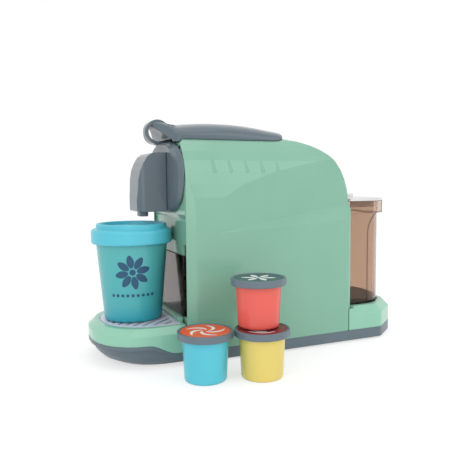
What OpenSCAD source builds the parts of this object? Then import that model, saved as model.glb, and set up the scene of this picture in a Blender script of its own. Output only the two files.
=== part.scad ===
// Toy capsule coffee maker with a takeaway cup and three play capsules.
// Front of the machine is -Y, the floor is Z = 0, the mid plane is X = 0. Millimetres.

/* [Housing] */
// Width across the two side walls
body_w = 108; // [107:0.5:109]
// Height of the flat roof strip above the floor
roof_z = 198; // [197:0.5:199]
// Half width of the flat roof strip
roof_flat = 20; // [19:0.5:21]
// Height where the shoulders start to round over
shoulder_z = 129; // [127:1:131]
// Fullness of the shoulder curve
shoulder_n = 2.2; // [2.1:0.1:2.4]
// Place of the front rim along the machine
front_y = -81; // [-81.5:0.5:-80.5]
// Place of the rear wall along the machine
rear_y = 88; // [87.5:0.5:88.5]
// Height of the lower rim of the housing shells
sill_z = 11.4; // [11:0.1:12]
// Wall thickness of the moulded shells
wall = 2.2; // [2:0.1:2.4]
// How far the upper side wall steps in at the rear
crease_depth = 10; // [8:0.5:11]

/* [Tray unit] */
// Half width of the round-nosed tray
tray_hw = 53; // [52:0.5:53]
// Place of the nose of the tray
tray_nose = -155; // [-157:0.5:-153]
// Height of the tray rim
tray_top = 34; // [33.5:0.5:34.5]
// Height of the drip grate above the floor
grate_top = 34.2; // [34.1:0.1:34.4]
// Width of the used capsule bin
bin_w = 70.6; // [68:0.2:71]
// Depth of the used capsule bin
bin_len = 58; // [50:1:58]

/* [Tank] */
// Half width of the water tank
tank_hw = 42; // [41:0.5:43]
// Place of the rear of the tank
tank_rear = 143; // [142:0.5:143.5]
// Height of the rim of the tank
tank_z = 136.5; // [134:0.5:138]

/* [Lever] */
// Half width of the lever
lever_hw = 34; // [33.5:0.1:34.5]
// Top of the lever at its highest
lever_top = 210.7; // [210.4:0.1:211]
// Outer radius of the finger curl
curl_r = 11; // [10.8:0.1:11.2]
// Half width of the finger curl
curl_hw = 6.5; // [6:0.5:8]

/* [Cup] */
// Outer radius of the cup at its rim
cup_r = 32.5; // [32.2:0.1:32.6]
// Outer radius of the cup at its foot
cup_foot_r = 25.5; // [25:0.1:26]
// Height of the cup without its lid
cup_h = 78.8; // [78:0.2:78.8]
// Place of the cup along the machine
cup_y = -115.7; // [-118:0.1:-115.5]

/* [Capsules] */
// Radius of the capsule ring
capsule_r = 22.5; // [22:0.1:23]
// Height of a capsule with its lid
capsule_h = 39.7; // [39:0.1:40]

/* [Hidden] */

mint = [0.54, 0.74, 0.65];
slate = [0.36, 0.43, 0.48];
smoke = [0.60, 0.46, 0.38];
ivory = [0.93, 0.93, 0.95];
dark = [0.16, 0.17, 0.19];
metal = [0.75, 0.75, 0.76];
cyan = [0.31, 0.74, 0.82];
teal = [0.30, 0.65, 0.68];
coral = [0.88, 0.40, 0.38];
lemon = [0.88, 0.80, 0.43];

gap = 0.3;                     // between pieces that part
hw = body_w / 2;
foot_z = 1.5;                  // underside of the base above the floor
bezel_in = 3;                  // front edge of each side, drawn in
bezel_len = 8;                 // length of that bevel
lip = 1.3;                     // thickness of the front rim
roof_bend_y = -14;             // where the roof starts to fall to the rear
roof_bend_z = 118;             // where the rear wall starts to lean over
roof_n = 2.8;                  // fullness of the rear corner seen from the side
rear_r = 9;                    // radius of the rear corners in plan
deck_z = 28;                   // top of the inner deck
band_z = 28.5;                 // top edge of the upright band of the base
corner_y = 121;                // where the base sides turn in at the rear
tail_at = [30, 150];           // end of the slanted rear corner of the base
rear_edge = 153;               // rearmost line of the base
platform_z = 33.4;             // top of the platform under the tank
unit_back = front_y - 0.5;     // rear face of the tray unit
nose_bend_y = -105;            // where the tray sides turn in at the front
nose_n = 2.4;                  // fullness of the nose
chute_y = -44;                 // capsule chute along the machine
chute_r = 24;                  // bore of the capsule chute
pivot_y = 24;                  // lever pivot
pivot_z = 199;
pin_r = 1.5;
button_y = 50;                 // middle of the button plate
button_z = 189.5;
button_tilt = -24;
button_pitch = 12;
button_half = 13.5;             // half the length of a button across the roof
button_r = 4.8;
bin_z = 38;
bin_h = 53.8;
bin_front = -79.5;
slot_x = 36;                   // half width of the bin opening in the front wall
slot_top = 92.3;
tank_bend = 104;               // where the sides of the tank turn in
tank_n = 2.3;                  // fullness of the rear of the tank
collar = 4.3;                  // how far the rim of the tank stands out
grip_y = 113.5;                // front edge of the finger recess round the tank
grip_top = 102;                // top of the finger slots beside the bin
wall_front = -78.8;            // front face of the recessed wall
cup_z = grate_top + gap;
cup_wall = 1.6;
lid_z = cup_z + 68.2;          // lower edge of the cup lid
blue_at = [91.9, -80, 0];
yellow_at = [104.7, -36.2, 0];
red_at = [98.1, -36.1, capsule_h + gap];

// ---- Shared shapes ----

// Quarter of a superellipse, from the end of its second half axis to the end of its first.
function quarter(a, b, n, steps) =
    [for (i = [0:steps]) let (t = 90 * i / steps) [a * pow(sin(t), 2 / n), b * pow(cos(t), 2 / n)]];

function flip(points) = [for (i = [len(points) - 1:-1:0]) [-points[i][0], points[i][1]]];

function shift(points, v) = [for (p = points) p + v];

// Plan of a part with straight sides and a rounded nose towards -Y, cut off at back.
function nose_plan(half, nose, bend, n, back) =
    let (q = [for (p = quarter(half, bend - nose, n, 11)) [p[0], bend - p[1]]])
    concat([[-half, back]], flip(q), [for (i = [1:len(q) - 1]) q[i]], [[half, back]]);

// The same with the rounded end towards +Y, cut off at front.
function tail_plan(half, tail, bend, n, front) =
    [for (p = nose_plan(half, -tail, -bend, n, -front)) [-p[0], -p[1]]];

// Soft corner at v, s long on each side, between the directions to a and to b.
function soft(a, v, b, s) =
    let (p = v + s * (a - v) / norm(a - v), q = v + s * (b - v) / norm(b - v))
    [for (i = [0:4]) let (t = i / 4) (1 - t) * (1 - t) * p + 2 * t * (1 - t) * v + t * t * q];

function at_height(points, z) = [for (p = points) [p[0], p[1], z]];

// Solid through rings of points that have the same count, given from the lowest up, anticlockwise.
module skin(rings) {
    n = len(rings[0]);
    last = (len(rings) - 1) * n;
    polyhedron(
        points = [for (r = rings) for (p = r) p],
        faces = concat(
            [[for (i = [0:n - 1]) i]],
            [for (k = [0:len(rings) - 2]) for (i = [0:n - 1]) let (j = (i + 1) % n)
                [k * n + j, k * n + i, (k + 1) * n + i, (k + 1) * n + j]],
            [[for (i = [n - 1:-1:0]) last + i]]
        )
    );
}

module block(x, y, z) {
    translate([x[0], y[0], z[0]]) cube([x[1] - x[0], y[1] - y[0], z[1] - z[0]]);
}

module post(x, y, z, r) {
    translate([x, y, z[0]]) cylinder(h = z[1] - z[0], r = r, $fn = 48);
}

// A profile drawn in Y and Z, extruded along X about the mid plane.
module along_x(half) {
    rotate([90, 0, 90]) translate([0, 0, -half]) linear_extrude(2 * half) children();
}

// A profile drawn in X and Z, extruded along Y.
module along_y(y) {
    translate([0, y[1], 0]) rotate([90, 0, 0]) linear_extrude(y[1] - y[0]) children();
}

module rounded_plan(x, y, r) {
    translate([x[0] + r, y[0]]) square([x[1] - x[0] - 2 * r, y[1] - y[0]]);
    translate([x[0], y[0] + r]) square([x[1] - x[0], y[1] - y[0] - 2 * r]);
    for (cx = [x[0] + r, x[1] - r])
        for (cy = [y[0] + r, y[1] - r])
            translate([cx, cy]) circle(r = r, $fn = 48);
}

// ---- Housing form ----

// Roof and shoulders, d inside their skin, from near to the rear and from low up.
module housing_arch(d, near, low) {
    rim_z = roof_z - 8 - 1.1 * d;
    intersection() {
        along_x(hw + 5) polygon(concat(
            [[near, low], [near, rim_z], [front_y, rim_z], [front_y + bezel_len, roof_z - d]],
            [for (p = quarter(rear_y - d - roof_bend_y, roof_z - d - roof_bend_z, roof_n, 12))
                [roof_bend_y + p[0], roof_bend_z + p[1]]],
            [[rear_y - d, low]]
        ));
        along_y([front_y - 25, rear_y + 5]) polygon(concat(
            [[hw - d, low - 1]],
            flip([for (p = quarter(hw - d - roof_flat, roof_z - d - shoulder_z, shoulder_n, 9))
                [-roof_flat - p[0], shoulder_z + p[1]]]),
            [for (p = quarter(hw - d - roof_flat, roof_z - d - shoulder_z, shoulder_n, 9))
                [-roof_flat - p[0], shoulder_z + p[1]]],
            [[-hw + d, low - 1]]
        ));
    }
}

// Outer form of the housing, d inside its skin. An open form runs out at the front and below.
module housing_form(d, open = false) {
    low = open ? sill_z - 20 : sill_z;
    near = open ? front_y - 20 : front_y + d;
    rim_x = open ? hw - bezel_in - lip - (d - wall) : hw - bezel_in - d;
    difference() {
        intersection() {
            housing_arch(d, near, low);
            translate([0, 0, low - 1]) linear_extrude(roof_z + 30 - low) polygon(concat(
                [[-rim_x, near - 1], [rim_x, near - 1], [rim_x, front_y],
                    [hw - d, front_y + bezel_len]],
                [for (p = quarter(rear_r - d, rear_r - d, 2, 4))
                    [hw - rear_r + p[1], rear_y - rear_r + p[0]]],
                flip([for (p = quarter(rear_r - d, rear_r - d, 2, 4))
                    [hw - rear_r + p[1], rear_y - rear_r + p[0]]]),
                [[-hw + d, front_y + bezel_len], [-rim_x, front_y]]
            ));
        }
        side_crease(hw - d);
        mirror([1, 0, 0]) side_crease(hw - d);
    }
}

// The upper side wall leans in towards the rear, above a narrow facet that widens rearwards.
module side_crease(x) {
    start_y = -61;
    end_y = rear_y + 10;
    run = (end_y - start_y) / (rear_y - start_y);
    skin([
        for (s = [[end_y, crease_depth * run, 109 + 11.6 * run, 111 + 24 * run],
                [start_y, -0.6, 108.6, 111]])
            [[x + 20, s[0], s[2]], [x + 20, s[0], 260], [x - s[1], s[0], 260],
                [x - s[1], s[0], s[3]], [x + 0.7, s[0], s[2]]]
    ]);
}

// Five narrow drops pressed into the shoulder.
module shoulder_vents() {
    for (i = [0:4]) {
        y = -53.7 + 15.4 * i;
        length = 19 - 1.9 * i;
        translate([hw - 2.9, y, 166]) {
            sphere(r = 2.3, $fn = 32);
            rotate([9, -21, 0]) cylinder(h = length, r1 = 2.1, r2 = 0.9, $fn = 32);
        }
    }
}

module shell_half(side) {
    boss_x = hw - 7.5;
    difference() {
        union() {
            difference() {
                intersection() {
                    housing_form(0);
                    block([0.1, hw + 10], [front_y - 30, rear_y + 10], [0, 240]);
                }
                housing_form(wall, true);
            }
            for (y = [-66, 70]) {
                post(boss_x, y, [sill_z, 26], 4);
                block([boss_x, hw - 1], [y - 1, y + 1], [sill_z, 26]);
            }
            for (p = [[74, 52], [74, 108], [-12, 172]])
                translate([0.1, p[0], p[1]]) rotate([0, 90, 0]) cylinder(h = hw - 8.1, r = 4, $fn = 48);
            for (p = [[74, 52], [74, 108]])
                block([0.1, hw - 8], [p[0], rear_y - 1], [p[1] - 1, p[1] + 1]);
            block([0.1, 23], [-13, -11], [172, roof_z - 1.2]);
        }
        shoulder_vents();
        for (y = [-66, 70])
            post(boss_x, y, [sill_z - 1, 22], 1.25);
        for (p = [[74, 52], [74, 108], [-12, 172]])
            translate([-1, p[0], p[1]]) rotate([0, 90, 0]) {
                cylinder(h = 14, r = side < 0 ? 1.7 : 1.25, $fn = 32);
                if (side < 0) translate([0, 0, 7]) cylinder(h = hw, r = 3, $fn = 32);
            }
        post(0, chute_y, [roof_z - 12, roof_z + 5], chute_r + 0.5);
        block([-1, 15.5], [pivot_y - 8, pivot_y + 6], [roof_z - 9, roof_z + 5]);
        translate([0, button_y, button_z]) rotate([button_tilt, 0, 0])
            linear_extrude(14, center = true) rounded_plan([-18.2, 18.2], [-13.2, 13.2], 8);
        block([-1, 44.4], [rear_y - 4, rear_y + 3], [deck_z - 2.7, deck_z + gap]);
        if (side < 0) translate([26, rear_y - 6, 21]) rotate([-90, 0, 0]) cylinder(h = 12, r = 3, $fn = 32);
    }
}

module right_shell() {
    color(mint) shell_half(1);
}

module left_shell() {
    color(mint) mirror([1, 0, 0]) shell_half(-1);
}

module front_wall() {
    color(mint) difference() {
        union() {
            intersection() {
                block([-hw, hw], [wall_front, wall_front + 2.2], [29, roof_z]);
                housing_form(wall + gap, true);
            }
            intersection() {
                along_x(hw) polygon([[wall_front + 0.5, 124], [front_y - 0.4, 128.5],
                    [front_y - 0.4, 184], [wall_front + 0.5, 187]]);
                housing_form(wall + gap, true);
            }
            for (x = [-44, 42])
                block([x, x + 2], [wall_front + 1, wall_front + 14], [104, 120]);
        }
        block([-slot_x, slot_x], [wall_front - 5, wall_front + 5], [20, slot_top]);
        for (x = [[-slot_x - 12.4, -slot_x + 1], [slot_x - 1, slot_x + 12.4]])
            block(x, [wall_front - 5, wall_front + 5], [38, grip_top]);
        translate([0, front_y - 5, 156]) rotate([-90, 0, 0]) cylinder(h = 12, r = 3, $fn = 32);
    }
}

module shell_screws() {
    color(metal) for (p = [[74, 52], [74, 108], [-12, 172]])
        translate([0, p[0], p[1]]) rotate([0, 90, 0]) {
            translate([0, 0, -6.8]) cylinder(h = 16, r = 1.2, $fn = 32);
            difference() {
                translate([0, 0, -9]) cylinder(h = 2.2, r = 2.6, $fn = 32);
                for (a = [0, 90])
                    rotate([0, 0, a]) translate([-1.6, -0.35, -10]) cube([3.2, 0.7, 2]);
            }
        }
}

// ---- Base ----

// Plan of the base behind front: straight sides and slanted rear corners, d inside its outline.
function rear_plan(d, front) =
    let (v = [hw - d, corner_y - 0.36 * d], w = tail_at - d * [0.51, 0.95],
        half = concat([[hw - d, front]], soft([hw - d, 0], v, w, 4), soft(v, w, [0, rear_edge - d], 6)))
    concat(half, [[0, rear_edge - d]], flip(half));

module base_pan() {
    color(slate) difference() {
        union() {
            difference() {
                translate([0, 0, foot_z]) linear_extrude(sill_z - 0.1 - foot_z)
                    polygon(rear_plan(0, front_y + 0.4));
                translate([0, 0, foot_z + wall]) linear_extrude(20)
                    polygon(rear_plan(wall, front_y + 3));
            }
            for (x = [-1, 1]) {
                for (y = [-66, 70])
                    post(x * (hw - 7.5), y, [foot_z, sill_z - gap], 4.6);
                for (y = [-40, 0, 40])
                    block([x * 45 - 1, x * 45 + 1], [y - 16, y + 16], [foot_z, sill_z - 2]);
            }
            block([-28, 28], [-32, 38], [foot_z, foot_z + wall + 2.5]);
        }
        for (x = [-1, 1])
            for (y = [-66, 70]) {
                post(x * (hw - 7.5), y, [0, 20], 1.7);
                post(x * (hw - 7.5), y, [0, 5], 3.2);
            }
        block([-25.4, 25.4], [-29.4, 27.4], [foot_z + 2, 30]);
        translate([0, 0, foot_z - 1]) linear_extrude(6) rounded_plan([-24, 24], [-28, 26], 3);
        block([-26.4, 26.4], [-30.4, 36.4], [0, foot_z + 2]);
        post(0, 32, [0, 20], 1.35);
        block([35, 40.4], [-8, 6], [0, 30]);
        for (p = [[-40, -50], [40, -50], [-38, 105], [38, 105]])
            post(p[0], p[1], [0, foot_z + 0.8], 5.2);
    }
}

module rubber_feet() {
    color(dark) for (p = [[-40, -50], [40, -50], [-38, 105], [38, 105]])
        post(p[0], p[1], [0, foot_z + 0.7], 5);
}

module base_screws() {
    color(metal) for (x = [-1, 1])
        for (y = [-66, 70]) {
            post(x * (hw - 7.5), y, [4.6, 18], 1.2);
            difference() {
                post(x * (hw - 7.5), y, [2.6, 4.7], 2.8);
                for (a = [0, 90])
                    translate([x * (hw - 7.5), y, 2]) rotate([0, 0, a])
                        translate([-1.6, -0.35, 0]) cube([3.2, 0.7, 1.6]);
            }
        }
}

module battery_box() {
    color(dark) difference() {
        block([-27.5, 27.5], [-31.5, 29.5], [6.4, 24]);
        block([-24, 24], [-27.6, 25.6], [0, 22.2]);
    }
}

module battery_cells() {
    for (i = [-1:1]) {
        end = i == 0 ? -1 : 1;
        translate([15.4 * i, -1, 14.4]) rotate([90 * end, 0, 0]) {
            color("dimgray") translate([0, 0, -24.6]) cylinder(h = 48.8, r = 7.1, $fn = 48);
            color(metal) translate([0, 0, 24.1]) cylinder(h = 1.3, r = 2.7, $fn = 48);
        }
    }
}

module battery_contacts() {
    color(metal) for (i = [-1:1]) {
        block([15.4 * i - 5, 15.4 * i + 5], [-27.4, -26.8], [9, 20]);
        block([15.4 * i - 5, 15.4 * i + 5], [24.8, 25.4], [9, 20]);
    }
}

module battery_door() {
    color(slate) difference() {
        union() {
            block([-26, 26], [-30, 36], [foot_z + 0.1, foot_z + 1.9]);
            translate([0, 0, foot_z + 1.8]) linear_extrude(1.8)
                rounded_plan([-23.6, 23.6], [-27.6, 25.6], 3);
            for (y = [-12, -6, 0, 6, 12])
                block([-10, 10], [y - 1, y + 1], [0, foot_z + 0.2]);
        }
        post(0, 32, [0, 10], 1.7);
        post(0, 32, [0, foot_z + 1], 3);
    }
}

module door_screw() {
    color(metal) union() {
        post(0, 32, [2.4, 9], 1.3);
        post(0, 32, [foot_z + 0.3, 2.5], 2.6);
    }
}

// Outline of the tank platform at one height; its sides run up to the housing at the front.
function platform_ring(d, z, front_x, front_z) =
    let (front = rear_y + 0.2)
    concat([[front_x, front, front_z]], at_height(rear_plan(d, front + 4.3), z),
        [[-front_x, front, front_z]]);

// Cheek of the platform that closes the corner behind the rounded end of the housing.
module platform_cheek() {
    difference() {
        block([hw - rear_r, hw - 0.1], [rear_y - 5, rear_y + 0.5], [sill_z, platform_z - 1]);
        post(hw - rear_r, rear_y - rear_r, [0, 50], rear_r + gap);
    }
}

// Inner deck that carries the works, and the rear platform that carries the tank.
module deck() {
    color(mint) difference() {
        union() {
            skin([
                platform_ring(0, sill_z, hw - 0.1, sill_z),
                platform_ring(0, 26, hw - 0.1, platform_z - 0.8),
                platform_ring(6.5, platform_z, hw - 3, platform_z)
            ]);
            block([-hw + wall + 0.5, hw - wall - 0.5], [-74, rear_y - 10], [deck_z - 2.4, deck_z]);
            block([-44, 44], [rear_y - 10.1, rear_y + 1], [deck_z - 2.4, deck_z]);
            platform_cheek();
            mirror([1, 0, 0]) platform_cheek();
        }
        translate([0, 0, sill_z - 1]) linear_extrude(14) polygon(rear_plan(wall, rear_y + 2.4));
        translate([0, 0, platform_z - 1.4]) linear_extrude(5) tank_outline(-0.8, rear_y - 1);
        post(0, 108, [20, 40], 6);
        for (x = [-1, 1]) {
            block([x * (hw - 7.5) - 5, x * (hw - 7.5) + 5], [-74.5, -60], [20, 40]);
            block([x * (hw - 7.5) - 5, x * (hw - 7.5) + 5], [64, 76], [20, 40]);
        }
        translate([-26, rear_y - 6, 21]) rotate([-90, 0, 0]) cylinder(h = 12, r = 3, $fn = 32);
        post(-26, 76, [20, 40], 3);
    }
    color(mint) for (x = [-22, 22])
        block([x - 2, x + 2], [-73, -26], [deck_z - 0.1, 34.1]);
}

// ---- Head ----

function shield_ring(half, high, y) =
    let (q = quarter(half, high, 2.5, 9), mid = 161)
    concat(
        [for (p = q) [p[0], y, mid + p[1]]],
        [for (i = [len(q) - 2:-1:0]) [q[i][0], y, mid - q[i][1]]],
        [for (i = [1:len(q) - 1]) [-q[i][0], y, mid - q[i][1]]],
        [for (i = [len(q) - 2:-1:1]) [-q[i][0], y, mid + q[i][1]]]
    );

module head_plate() {
    color(slate) difference() {
        skin([
            shield_ring(38, 29.8, front_y - 6.6),
            shield_ring(48, 31.2, front_y - 4.8),
            shield_ring(50.8, 32.4, front_y - 2.4),
            shield_ring(50.4, 32, front_y - 0.6)
        ]);
        block([-12, 12], [front_y - 5, front_y + 5], [140, 172]);
        translate([0, front_y - 10, 156]) rotate([-90, 0, 0]) cylinder(h = 8, r = 3, $fn = 32);
    }
}

module brew_head() {
    top = 182.7;
    back = front_y - 6.9;
    color(slate) difference() {
        intersection() {
            along_x(30) polygon([
                [back, 130.5], [-112.5, 130.5], [-113.6, 131.6], [-113.8, 141], [-113, 150], [-112.5, 159],
                [-110.9, 167], [-108, 174], [-104.6, 179.4], [-101, 182], [-97, top], [back, top]
            ]);
            translate([0, 0, 120]) linear_extrude(80) rounded_plan([-19, 19], [-114, -50], 7);
        }
        intersection() {
            along_x(30) polygon([
                [back + 5, 120], [-111, 120], [-111.4, 141], [-110.2, 158],
                [-108, 166], [-104, 175], [-99, 180.2], [back + 5, 180.2]
            ]);
            translate([0, 0, 120]) linear_extrude(80) rounded_plan([-16.6, 16.6], [-111.6, -50], 5);
        }
    }
}

module spout() {
    color(slate) difference() {
        union() {
            translate([0, 0, 126]) linear_extrude(6) rounded_plan([-8, 8], [-109, -101.4], 3.6);
            translate([0, 0, 131]) linear_extrude(2)
                rounded_plan([-16.2, 16.2], [-110.7, front_y - 7.2], 4.4);
            post(0, -105.2, [132, 146], 4.5);
        }
        post(0, -105.2, [128, 150], 3);
        for (x = [-4, 4]) {
            post(x, -105.2, [120, 129], 1.2);
            translate([x, -105.2, 127.6]) rotate([0, x > 0 ? -50 : 50, 0]) cylinder(h = 7, r = 1, $fn = 24);
        }
    }
}

// ---- Works inside ----

module capsule_chute() {
    color(ivory) difference() {
        union() {
            post(0, chute_y, [97, roof_z - 6], chute_r + 1.8);
            for (x = [-1, 1])
                block([x * 34 - 11, x * 34 + 11], [chute_y - 2, chute_y + 2], [160, 163]);
        }
        post(0, chute_y, [90, roof_z + 2], chute_r);
        block([-3, 3], [chute_y - 40, chute_y], [90, 120]);
    }
}

module hinge_block() {
    color(dark) difference() {
        union() {
            for (x = [-1, 1])
                block([x * 12.5 - 2.5, x * 12.5 + 2.5], [pivot_y - 5, pivot_y + 5], [184, pivot_z + 2.6]);
            block([-15, 15], [pivot_y - 7, pivot_y + 5], [184, 187]);
            for (x = [-1, 1])
                block([x * 18.5 - 4.5, x * 18.5 + 4.5], [pivot_y - 5, pivot_y + 5], [190, 192.4]);
        }
        translate([-20, pivot_y, pivot_z]) rotate([0, 90, 0]) cylinder(h = 40, r = pin_r, $fn = 32);
    }
}

module lever_pin() {
    color(metal) translate([-15, pivot_y, pivot_z]) rotate([0, 90, 0])
        cylinder(h = 30, r = pin_r, $fn = 32);
}

module on_roof() {
    translate([0, button_y, button_z]) rotate([button_tilt, 0, 0]) children();
}

module button_plate() {
    color(dark) on_roof() difference() {
        union() {
            translate([0, 0, -2.4]) linear_extrude(3) rounded_plan([-18, 18], [-13, 13], 7.8);
            for (x = [-1, 1])
                block([x * 19 - 3, x * 19 + 3], [-5, 5], [-7.2, -5.2]);
            for (x = [-1, 1])
                block([x * 16.6 - 0.8, x * 16.6 + 0.8], [-4, 4], [-7, -2]);
        }
        for (s = [-1, 1])
            translate([0, 0, -10]) linear_extrude(20) button_plan(s, gap);
    }
}

module circuit_board() {
    color("darkgreen") on_roof() block([-18, 18], [-13, 20], [-16.6, -15]);
}

module push_switches() {
    color(dark) on_roof() for (s = [-1, 1]) {
        block([-3, 3], [s * button_pitch / 2 - 3, s * button_pitch / 2 + 3], [-15, -11.6]);
        translate([0, s * button_pitch / 2, -11.6]) cylinder(h = 0.8, r = 1.7, $fn = 32);
    }
}

module button_plan(s, grow) {
    r = button_r + grow;
    mid = s * button_pitch / 2;
    rounded_plan([-button_half - grow, button_half + grow], [mid - r, mid + r], r - 0.1);
}

module button(s) {
    on_roof() {
        translate([0, 0, -8.9]) linear_extrude(10.2) button_plan(s, 0);
        translate([0, 0, 1.2]) linear_extrude(0.7) button_plan(s, -0.6);
    }
}

module front_button() {
    color("sienna") button(-1);
}

module rear_button() {
    color(dark) button(1);
}

module speaker() {
    color(dark) union() {
        post(30, 40, [deck_z + gap, deck_z + 4], 18);
        post(30, 40, [deck_z + 3.9, deck_z + 10], 9);
    }
}

module slide_switch() {
    color(metal) block([34.5, 41], [-8, 6], [8.2, 12.4]);
}

module power_slider() {
    color(dark) union() {
        block([35.3, 40.1], [-5, -0.5], [foot_z + 0.2, 4.2]);
        block([33.8, 41.6], [-7, 1.5], [4.1, 6]);
        block([36, 39.4], [-4, -1.5], [5.9, 7.9]);
    }
}

module water_pump() {
    color(ivory) difference() {
        union() {
            post(-26, 44, [deck_z + gap, deck_z + 16], 13);
            translate([-26, 44, deck_z + 8]) rotate([-90, 0, 0]) cylinder(h = 22, r = 2.6, $fn = 32);
            post(-26, 29, [deck_z + 4, deck_z + 26], 2.6);
        }
        translate([-26, 44, deck_z + 8]) rotate([-90, 0, 0]) cylinder(h = 30, r = 1.6, $fn = 32);
        post(-26, 29, [deck_z + 6, deck_z + 30], 1.6);
    }
}

module pump_motor() {
    color(metal) union() {
        post(-26, 44, [deck_z + 16.2, deck_z + 44], 11.8);
        post(-26, 44, [deck_z + 43, deck_z + 47], 4);
    }
}

// Bent tubes: straight runs with round elbows between the corners of a route.
module tube_run(route, r) {
    for (i = [0:len(route) - 2]) {
        d = route[i + 1] - route[i];
        translate(route[i]) rotate([0, acos(d[2] / norm(d)), atan2(d[1], d[0])])
            cylinder(h = norm(d), r = r, $fn = 24);
    }
    for (i = [1:len(route) - 2])
        translate(route[i]) cube(2 * r + 0.4, center = true);
}

module suction_tube() {
    color(ivory) tube_run([[-26, 66.4, 36], [-26, 76, 36], [-26, 76, 21], [-26, 108, 21],
        [-8.4, 108, 21]], 2);
}

module delivery_tube() {
    color(ivory) tube_run([[-26, 29, 54.4], [-26, 29, 128], [-33, 29, 128], [-33, -73.2, 128],
        [-33, -73.2, 156], [0, -73.2, 156], [0, -105.2, 156], [0, -105.2, 146.6]], 2);
}

module tank_socket() {
    color(dark) difference() {
        union() {
            post(0, 108, [14, 31.6], 5.6);
            translate([-8, 108, 21]) rotate([0, 90, 0]) cylinder(h = 6, r = 2.4, $fn = 32);
        }
        post(0, 108, [24, 40], 4.3);
        post(0, 108, [16, 30], 2);
    }
}

// ---- Tray unit ----

// Lower edge of the tray: level round the nose, then an S down to the housing sill.
function tray_line(drop, from, to, low, high) = concat(
    [for (i = [0:8]) let (t = i / 8) [from + (to - from) * t, high - drop * t * t * (3 - 2 * t)]],
    [[unit_back + 5, high - drop], [unit_back + 5, low], [tray_nose - 5, low], [tray_nose - 5, high]]);

module below_tray_line(offset_z) {
    along_x(hw + 5) polygon(shift(tray_line(8.6, -115, -91, -5, 20), [0, offset_z]));
}

module below_step_line() {
    along_x(hw + 5) polygon(tray_line(15.2, -116, -76, -25, 16.5));
}

module tray_foot() {
    color(slate) difference() {
        union() {
            difference() {
                intersection() {
                    translate([0, 0, foot_z]) linear_extrude(20)
                        polygon(nose_plan(tray_hw, tray_nose, nose_bend_y, nose_n, unit_back));
                    below_tray_line(0);
                }
                below_step_line();
            }
            intersection() {
                skin([for (s = [[46, -137, -92, 1.5], [48.6, -145, -96, 5], [50.6, -150, -100, 10],
                        [51.4, -153, -104, 17.5]])
                    at_height(nose_plan(s[0], s[1], s[2], nose_n - 0.1, unit_back), s[3])]);
                below_step_line();
                below_tray_line(0);
            }
        }
        translate([0, 0, 3.6]) linear_extrude(30)
            polygon(nose_plan(44, -134, -92, nose_n, unit_back - 2.4));
        translate([0, 0, 9]) linear_extrude(30)
            polygon(nose_plan(48.4, -148, -98, nose_n, unit_back - 2.4));
        for (x = [-30, 30])
            post(x, -112, [0, foot_z + 0.8], 5.2);
    }
    color(dark) for (x = [-30, 30])
        post(x, -112, [0, foot_z + 0.9], 5.1);
}

module drip_tray() {
    tongue = [[-33, 33], [unit_back - 3, -26], [34.4, 37.6]];
    color(mint) difference() {
        union() {
            difference() {
                translate([0, 0, sill_z]) linear_extrude(band_z - sill_z)
                    polygon(nose_plan(tray_hw, tray_nose, nose_bend_y, nose_n, unit_back));
                below_tray_line(0.2);
                translate([0, 0, sill_z - 1]) linear_extrude(21.5 - sill_z)
                    polygon(nose_plan(tray_hw - 2.6, tray_nose + 2.6, nose_bend_y, nose_n, unit_back - 2));
            }
            skin([
                at_height(nose_plan(tray_hw, tray_nose, nose_bend_y, nose_n, unit_back), band_z),
                at_height(nose_plan(tray_hw - 6, tray_nose + 6, nose_bend_y, nose_n, unit_back), tray_top)
            ]);
            block(tongue[0], tongue[1], tongue[2]);
            block([-35, 35], [unit_back - 2, bin_front - 0.1], [tray_top - 4, 37.6]);
        }
        translate([0, 0, 22.6]) linear_extrude(20)
            polygon(nose_plan(40, -141.5, -101, 2.2, unit_back - 4.5));
        translate([0, 0, 31.4]) linear_extrude(20)
            polygon(nose_plan(42.8, -145.2, -100, 2.2, unit_back - 2.6));
    }
}

module drip_grate() {
    plate = nose_plan(42.5, -144.9, -100, 2.2, unit_back - 2.9);
    inner = nose_plan(38.5, -140.5, -100, 2.2, unit_back - 6.5);
    color(ivory) difference() {
        translate([0, 0, 31.6]) linear_extrude(grate_top - 31.6) polygon(plate);
        intersection() {
            translate([0, 0, 30]) linear_extrude(10) polygon(inner);
            for (i = [-7:7])
                translate([0, -112, 30]) rotate([0, 0, -45])
                    translate([-60, 7.6 * i - 1.6, 0]) cube([120, 3.2, 10]);
        }
    }
}

module capsule_bin() {
    w = bin_w / 2;
    back = bin_front + bin_len;
    top = bin_z + bin_h;
    color(smoke) difference() {
        union() {
            translate([0, 0, bin_z]) linear_extrude(bin_h) rounded_plan([-w, w], [bin_front, back], 1.5);
            for (x = [-1, 1]) {
                block([x * 40 - 5.4, x * 40 + 5.4], [-66, -64], [61, 76]);
                block([x * 44.4 - 1, x * 44.4 + 1], [-85, -64], [61, 76]);
            }
        }
        translate([0, 0, bin_z + 2]) linear_extrude(bin_h)
            rounded_plan([-w + 2, w - 2], [bin_front + 2, back - 2], 1);
        block([-40, 40], [bin_front + 20, back + 5], [top - 12, top + 5]);
    }
}

// ---- Lever ----

// Section of the lever at y: upright sides and a crown that drops by fall from its middle to its sides.
function lever_ring(y, half, fall, top) =
    let (q = [for (p = quarter(half, fall, 2, 8)) [p[0], y, lever_top - top - fall + p[1]]])
    concat(
        q,
        [[half, y, 178], [-half, y, 178]],
        [for (i = [len(q) - 1:-1:1]) [-q[i][0], y, q[i][2]]]
    );

// Rolled front of the lever, open to the rear and below.
module curl() {
    translate([-91.5, lever_top - 9.1]) difference() {
        circle(r = curl_r, $fn = 64);
        circle(r = curl_r - 2.6, $fn = 64);
        polygon([[0, 0], [40, 30], [40, -34], [6.5, -20]]);
    }
}

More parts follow.
